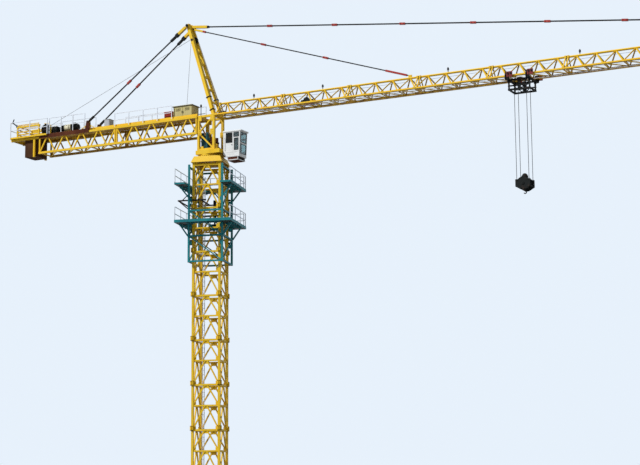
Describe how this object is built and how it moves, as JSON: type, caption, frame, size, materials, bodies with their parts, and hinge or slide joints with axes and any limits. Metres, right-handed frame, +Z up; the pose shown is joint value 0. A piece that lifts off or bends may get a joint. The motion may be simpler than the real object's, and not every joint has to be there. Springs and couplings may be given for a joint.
{
  "type": "tower crane, 1:2 scale model",
  "caption": "Saddle-jib tower crane at half size: lattice mast in a climbing cage, slewing upper works, raked cathead, tied jib with a trolley and hook block, counter-jib with ballast.",
  "frame": {"origin": "on the mast axis, at the underside of the base cross", "axes": "+X along the jib at rest, away from the mast; +Z up; +Y to the left of a person who looks out along the jib"},
  "size_m": [33.6243, 3.7066, 18.9364],
  "materials": {
    "crane_yellow": "satin",
    "cage_teal": "satin",
    "galvanised": "matte",
    "dark_steel": "satin",
    "motor_green": "satin",
    "cab_white": "gloss",
    "glass": "clear",
    "cabinet_khaki": "satin",
    "cabinet_grey": "satin",
    "red_paint": "satin",
    "ballast_brown": "matte",
    "wire_rope": "matte"
  },
  "bodies": {
    "mast": {"base_cross": "crane_yellow", "base_struts": "crane_yellow", "mast_front": "crane_yellow", "mast_back": "crane_yellow", "mast_left": "crane_yellow", "mast_right": "crane_yellow", "mast_ladder": "galvanised", "cage_front": "cage_teal", "cage_back": "cage_teal", "cage_left": "cage_teal", "cage_right": "cage_teal", "upper_platform": "cage_teal", "lower_platform": "cage_teal", "cage_railings": "galvanised", "jacking_ram": "dark_steel", "lower_support": "crane_yellow"},
    "upper_works": {"slewing_deck": "crane_yellow", "slewing_tower": "crane_yellow", "slewing_motors": "motor_green", "cab_shell": "cab_white", "cab_glass": "glass", "cab_platform": "dark_steel", "cathead_legs": "crane_yellow", "cathead_ladder": "galvanised", "cathead_head": "crane_yellow", "cathead_sheave": "dark_steel", "counter_jib_near": "crane_yellow", "counter_jib_far": "crane_yellow", "counter_jib_bracing": "crane_yellow", "counter_jib_deck": "crane_yellow", "counter_jib_railings": "galvanised", "tail_platform": "crane_yellow", "hoist_winch": "dark_steel", "control_cabinet": "cabinet_khaki", "resistor_box": "red_paint", "switch_cabinet": "cabinet_grey", "counterweights": "ballast_brown", "counter_jib_ties": "dark_steel", "jib_root": "crane_yellow", "jib_inner": "crane_yellow", "jib_middle": "crane_yellow", "jib_outer": "crane_yellow", "jib_tip": "crane_yellow", "inner_tie": "dark_steel", "outer_tie": "dark_steel", "trolley_winch": "red_paint", "hoist_rope": "wire_rope"},
    "trolley": {"trolley_frame": "dark_steel", "trolley_wheels": "dark_steel", "trolley_sheaves": "dark_steel", "hoist_falls": "wire_rope"},
    "block": {"hook_block": "dark_steel", "block_sheaves": "dark_steel"},
    "hook": {"hook": "dark_steel"}
  },
  "joints": [
    {"name": "slewing", "type": "hinge", "parent": "mast", "child": "upper_works", "pos_m": [0, 0, 14.091], "axis": [0, 0, 1], "continuous": true},
    {"name": "trolley_travel", "type": "slide", "parent": "upper_works", "child": "trolley", "axis": [1, 0, 0], "range_m": [-8.9, 13.3]},
    {"name": "hoist", "type": "slide", "parent": "trolley", "child": "block", "axis": [0, 0, 1], "range_m": [-11.1, 2.3], "deforming": ["hoist_falls"]},
    {"name": "hook_swivel", "type": "hinge", "parent": "block", "child": "hook", "pos_m": [11.35, 0, 11.93], "axis": [0, 0, 1], "continuous": true}
  ]
}
